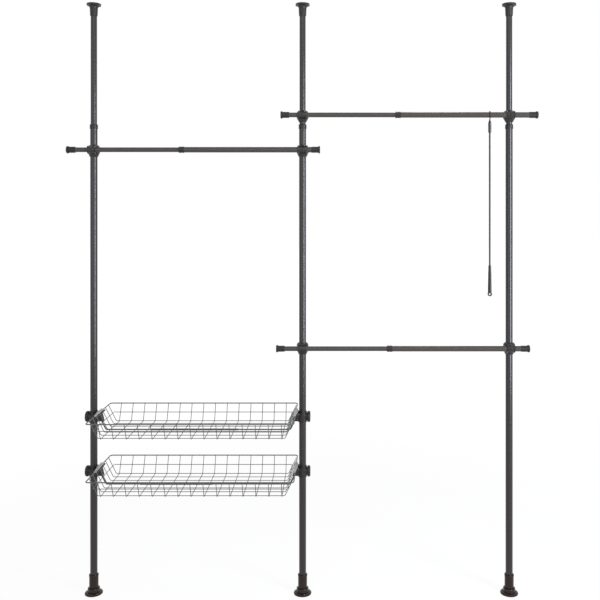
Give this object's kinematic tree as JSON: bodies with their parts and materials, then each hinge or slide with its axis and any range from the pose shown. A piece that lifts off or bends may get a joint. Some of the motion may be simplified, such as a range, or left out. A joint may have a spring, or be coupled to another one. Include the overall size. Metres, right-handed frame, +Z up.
{
  "type": "telescopic clothes rack",
  "caption": "Floor-to-ceiling telescopic clothes rack: tension poles in a row carry clamped, extending hanging rails, wire baskets on brackets and a hanging hook pole",
  "frame": {"origin": "on the floor under the centre pole", "axes": "+Z up, +X to the right along the rails, +Y from the rails towards the poles"},
  "size_m": [2.124, 0.377, 2.68],
  "materials": {
    "tube_lacquer": "satin anthracite lacquer on steel tube",
    "black_plastic": "moulded black plastic",
    "foot_plastic": "glossy moulded black plastic",
    "wire_lacquer": "dark grey lacquer on steel wire",
    "zinc_plate": "zinc-plated sheet steel",
    "screw_steel": "black-oxide steel screw"
  },
  "bodies": {
    "frame": {"left_lower_tube": "tube_lacquer", "centre_lower_tube": "tube_lacquer", "fixed_pole_collars": "black_plastic", "left_rail_inner_tube": "tube_lacquer", "left_rail_outer_tube": "tube_lacquer", "left_rail_collar": "black_plastic", "fixed_rail_caps": "black_plastic", "lower_rail_inner_tube": "tube_lacquer", "left_rail_left_clamp": "black_plastic", "left_rail_right_clamp": "black_plastic", "lower_rail_left_clamp": "black_plastic", "fixed_clamp_screws": "screw_steel", "basket_brackets": "black_plastic", "support_bars": "wire_lacquer"},
    "left_upper_pole": {"left_upper_tube": "tube_lacquer", "left_pole_plug": "black_plastic", "left_ceiling_cap": "black_plastic"},
    "centre_upper_pole": {"centre_upper_tube": "tube_lacquer", "centre_pole_plug": "black_plastic", "centre_ceiling_cap": "black_plastic", "upper_rail_inner_tube": "tube_lacquer", "upper_rail_left_cap": "black_plastic", "upper_rail_left_clamp": "black_plastic", "upper_rail_left_clamp_screw": "screw_steel"},
    "right_pole": {"right_lower_tube": "tube_lacquer", "right_pole_collar": "black_plastic", "lower_rail_outer_tube": "tube_lacquer", "lower_rail_collar": "black_plastic", "lower_rail_right_cap": "black_plastic", "lower_rail_right_clamp": "black_plastic", "lower_rail_right_clamp_screw": "screw_steel"},
    "right_upper_pole": {"right_upper_tube": "tube_lacquer", "right_pole_plug": "black_plastic", "right_ceiling_cap": "black_plastic", "upper_rail_outer_tube": "tube_lacquer", "upper_rail_collar": "black_plastic", "upper_rail_right_cap": "black_plastic", "upper_rail_right_clamp": "black_plastic", "upper_rail_right_clamp_screw": "screw_steel"},
    "hook_pole": {"pole_hook": "wire_lacquer", "hook_rod": "wire_lacquer", "hook_handle": "black_plastic"},
    "upper_basket": {"upper_basket_rim": "wire_lacquer", "upper_basket_cross_wires": "wire_lacquer", "upper_basket_long_wires": "wire_lacquer", "upper_basket_end_plates": "zinc_plate"},
    "lower_basket": {"lower_basket_rim": "wire_lacquer", "lower_basket_cross_wires": "wire_lacquer", "lower_basket_long_wires": "wire_lacquer", "lower_basket_end_plates": "zinc_plate"},
    "left_foot": {"left_foot": "foot_plastic"},
    "left_foot_sleeve": {"left_foot_sleeve": "foot_plastic"},
    "centre_foot": {"centre_foot": "foot_plastic"},
    "centre_foot_sleeve": {"centre_foot_sleeve": "foot_plastic"},
    "right_foot": {"right_foot": "foot_plastic"},
    "right_foot_sleeve": {"right_foot_sleeve": "foot_plastic"},
    "upper_left_knob": {"upper_left_knob": "black_plastic"},
    "upper_right_knob": {"upper_right_knob": "black_plastic"},
    "lower_left_knob": {"lower_left_knob": "black_plastic"},
    "lower_right_knob": {"lower_right_knob": "black_plastic"}
  },
  "joints": [
    {"name": "left_pole_extend", "type": "slide", "parent": "frame", "child": "left_upper_pole", "axis": [0, 0, 1], "range_m": [-0.45, 0.3]},
    {"name": "right_pole_extend", "type": "slide", "parent": "right_pole", "child": "right_upper_pole", "axis": [0, 0, 1], "range_m": [0, 0.3]},
    {"name": "centre_pole_extend", "type": "slide", "parent": "frame", "child": "centre_upper_pole", "axis": [0, 0, 1], "range_m": [0, 0.3]},
    {"name": "right_bay_width", "type": "slide", "parent": "frame", "child": "right_pole", "axis": [1, 0, 0], "range_m": [-0.2, 0.2]},
    {"name": "hook_pole_swing", "type": "hinge", "parent": "right_upper_pole", "child": "hook_pole", "pos_m": [0.845, -0.032, 2.171], "axis": [1, 0, 0], "range_deg": [-60, 60]},
    {"name": "upper_basket_lift", "type": "slide", "parent": "frame", "child": "upper_basket", "axis": [0, 0, 1], "range_m": [0, 0.15]},
    {"name": "lower_basket_lift", "type": "slide", "parent": "frame", "child": "lower_basket", "axis": [0, 0, 1], "range_m": [0, 0.15]},
    {"name": "left_sleeve_turn", "type": "hinge", "parent": "frame", "child": "left_foot_sleeve", "pos_m": [-0.95, 0, 0.06], "axis": [0, 0, 1], "range_deg": [0, 2160]},
    {"name": "left_foot_screw", "type": "slide", "parent": "frame", "child": "left_foot", "axis": [0, 0, 1], "range_m": [-0.03, 0]},
    {"name": "centre_sleeve_turn", "type": "hinge", "parent": "frame", "child": "centre_foot_sleeve", "pos_m": [0, 0, 0.06], "axis": [0, 0, 1], "range_deg": [0, 2160]},
    {"name": "centre_foot_screw", "type": "slide", "parent": "frame", "child": "centre_foot", "axis": [0, 0, 1], "range_m": [-0.03, 0]},
    {"name": "right_sleeve_turn", "type": "hinge", "parent": "right_pole", "child": "right_foot_sleeve", "pos_m": [0.94, 0, 0.06], "axis": [0, 0, 1], "range_deg": [0, 2160]},
    {"name": "right_foot_screw", "type": "slide", "parent": "right_pole", "child": "right_foot", "axis": [0, 0, 1], "range_m": [-0.03, 0]},
    {"name": "upper_left_knob_turn", "type": "hinge", "parent": "frame", "child": "upper_left_knob", "pos_m": [-0.98, 0, 0.8035], "axis": [-1, 0, 0], "range_deg": [0, 720]},
    {"name": "upper_right_knob_turn", "type": "hinge", "parent": "frame", "child": "upper_right_knob", "pos_m": [0.03, 0, 0.8035], "axis": [1, 0, 0], "range_deg": [0, 720]},
    {"name": "lower_left_knob_turn", "type": "hinge", "parent": "frame", "child": "lower_left_knob", "pos_m": [-0.98, 0, 0.5555], "axis": [-1, 0, 0], "range_deg": [0, 720]},
    {"name": "lower_right_knob_turn", "type": "hinge", "parent": "frame", "child": "lower_right_knob", "pos_m": [0.03, 0, 0.5555], "axis": [1, 0, 0], "range_deg": [0, 720]}
  ],
  "couplings": [
    {"joint": "centre_pole_extend", "follows": "right_pole_extend", "ratio": 1},
    {"joint": "left_foot_screw", "follows": "left_sleeve_turn", "m_per_rad": -0.00079577},
    {"joint": "centre_foot_screw", "follows": "centre_sleeve_turn", "m_per_rad": -0.00079577},
    {"joint": "right_foot_screw", "follows": "right_sleeve_turn", "m_per_rad": -0.00079577}
  ]
}
